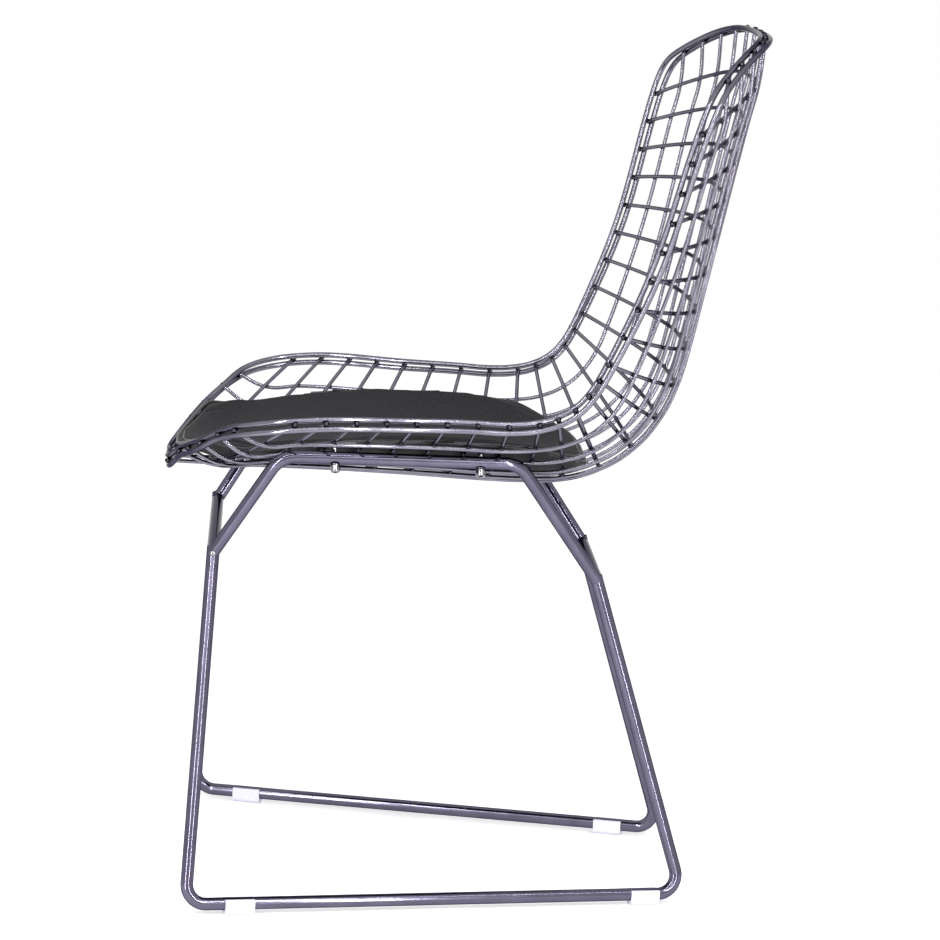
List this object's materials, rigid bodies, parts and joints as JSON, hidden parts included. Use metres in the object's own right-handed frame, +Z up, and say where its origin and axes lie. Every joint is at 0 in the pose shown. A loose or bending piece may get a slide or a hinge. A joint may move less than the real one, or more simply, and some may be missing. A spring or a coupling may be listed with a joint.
{
  "type": "wire side chair",
  "caption": "Side chair with a dished lattice shell of welded wire inside a paired rim, held by bent seat bars on an open sled base with clip-on glides and a loose seat pad",
  "frame": {"origin": "on the floor, in the middle of the chair's length and width", "axes": "+Z up, the sitter faces -Y, X = 0 is the plane of symmetry"},
  "size_m": [0.5476, 0.5613, 0.8283],
  "materials": {
    "lattice_wire": "satin, dark grey with a slight violet tint",
    "rim_rod": "satin, dark grey with bright highlights",
    "base_rod": "satin, mid grey with bright highlights",
    "fastener": "polished",
    "glide": "matte, pale grey",
    "pad_cover": "matte black, smooth"
  },
  "bodies": {
    "root": {"clamp_bolt_front_left": "fastener", "clamp_bolt_front_right": "fastener", "clamp_bolt_rear_left": "fastener", "clamp_bolt_rear_right": "fastener", "clamp_plate_front_left": "fastener", "clamp_plate_front_right": "fastener", "clamp_plate_rear_left": "fastener", "clamp_plate_rear_right": "fastener", "cross_wire_01": "lattice_wire", "cross_wire_02": "lattice_wire", "cross_wire_03": "lattice_wire", "cross_wire_04": "lattice_wire", "cross_wire_05": "lattice_wire", "cross_wire_06": "lattice_wire", "cross_wire_07": "lattice_wire", "cross_wire_08": "lattice_wire", "cross_wire_09": "lattice_wire", "cross_wire_10": "lattice_wire", "cross_wire_11": "lattice_wire", "cross_wire_12": "lattice_wire", "cross_wire_13": "lattice_wire", "cross_wire_14": "lattice_wire", "cross_wire_15": "lattice_wire", "cross_wire_16": "lattice_wire", "cross_wire_17": "lattice_wire", "cross_wire_18": "lattice_wire", "cross_wire_19": "lattice_wire", "cross_wire_20": "lattice_wire", "cross_wire_21": "lattice_wire", "cross_wire_22": "lattice_wire", "crossbar_front": "base_rod", "crossbar_rear": "base_rod", "glide_front_left": "glide", "glide_front_right": "glide", "glide_rear_left": "glide", "glide_rear_right": "glide", "long_wire_left_1": "lattice_wire", "long_wire_left_2": "lattice_wire", "long_wire_left_3": "lattice_wire", "long_wire_left_4": "lattice_wire", "long_wire_left_5": "lattice_wire", "long_wire_left_6": "lattice_wire", "long_wire_middle": "lattice_wire", "long_wire_right_1": "lattice_wire", "long_wire_right_2": "lattice_wire", "long_wire_right_3": "lattice_wire", "long_wire_right_4": "lattice_wire", "long_wire_right_5": "lattice_wire", "long_wire_right_6": "lattice_wire", "rim_rod_inner": "rim_rod", "rim_rod_outer": "rim_rod", "seat_bar_left": "base_rod", "seat_bar_right": "base_rod", "seat_pad": "pad_cover", "sled_left": "base_rod", "sled_right": "base_rod"}
  },
  "joints": []
}
